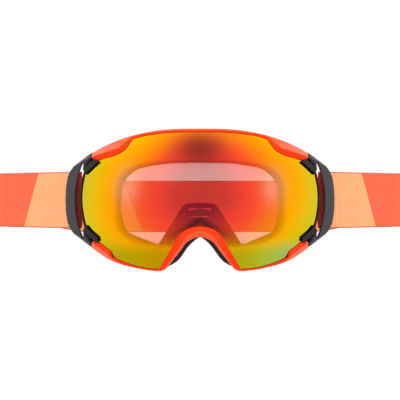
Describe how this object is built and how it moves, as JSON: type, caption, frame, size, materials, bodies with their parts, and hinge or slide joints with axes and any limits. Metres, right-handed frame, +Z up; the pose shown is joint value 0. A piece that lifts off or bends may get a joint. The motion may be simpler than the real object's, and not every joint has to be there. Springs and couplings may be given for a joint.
{
  "type": "ski goggles",
  "caption": "Ski goggles with a wide spherical mirror lens, moulded frame with swinging side outriggers, layered face foam and an adjustable elastic strap.",
  "frame": {"origin": "middle of the foam's face-fit surface at the bridge of the forehead, level with the middle of the strap where it leaves the frame", "axes": "+X to the viewer's right of someone facing the lens, -Y out of the lens, +Y towards the wearer's face and the back of the strap, +Z up"},
  "size_m": [0.309, 0.1438, 0.095],
  "materials": {
    "frame_plastic": "orange-red moulded polyurethane, satin",
    "dark_plastic": "charcoal nylon, satin",
    "mirror_lens": "red to yellow mirror coating",
    "clear_lens": "clear, anti-fog coated",
    "gasket_foam": "closed-cell foam",
    "pin_steel": "plain steel",
    "vent_foam": "open-cell filter foam",
    "face_foam": "black polyurethane foam",
    "fleece": "black brushed fleece",
    "strap_webbing": "woven elastic webbing in coral and peach",
    "silicone": "translucent silicone"
  },
  "bodies": {
    "frame": {"frame_shell": "frame_plastic", "face_frame": "dark_plastic", "outer_lens": "mirror_lens", "lens_gasket": "gasket_foam", "inner_lens": "clear_lens", "hinge_mount_upper_left": "dark_plastic", "hinge_mount_upper_right": "dark_plastic", "hinge_mount_lower_left": "dark_plastic", "hinge_mount_lower_right": "dark_plastic", "hinge_pins": "pin_steel", "vent_filter_brow": "vent_foam", "vent_filter_cheek_left": "vent_foam", "vent_filter_cheek_right": "vent_foam", "foam_base": "face_foam", "foam_soft": "face_foam", "foam_fleece": "fleece", "strap_left": "strap_webbing", "strap_right": "strap_webbing", "strap_grip_left": "silicone", "strap_grip_right": "silicone"},
    "outrigger_left": {"outrigger_left": "dark_plastic", "strap_end_left": "strap_webbing"},
    "outrigger_right": {"outrigger_right": "dark_plastic", "strap_end_right": "strap_webbing"},
    "slider_left": {"slider_left": "dark_plastic", "strap_tab_left": "strap_webbing"},
    "slider_right": {"slider_right": "dark_plastic", "strap_tab_right": "strap_webbing"}
  },
  "joints": [
    {"name": "outrigger_left_swing", "type": "hinge", "parent": "frame", "child": "outrigger_left", "pos_m": [-0.078, -0.006, 0], "axis": [0, 0, 1], "range_deg": [0, 18]},
    {"name": "outrigger_right_swing", "type": "hinge", "parent": "frame", "child": "outrigger_right", "pos_m": [0.078, -0.006, 0], "axis": [0, 0, -1], "range_deg": [0, 18]},
    {"name": "slider_left_slide", "type": "slide", "parent": "frame", "child": "slider_left", "axis": [-1, 0, 0], "range_m": [-0.022, 0.01]},
    {"name": "slider_right_slide", "type": "slide", "parent": "frame", "child": "slider_right", "axis": [1, 0, 0], "range_m": [-0.022, 0.01]}
  ]
}
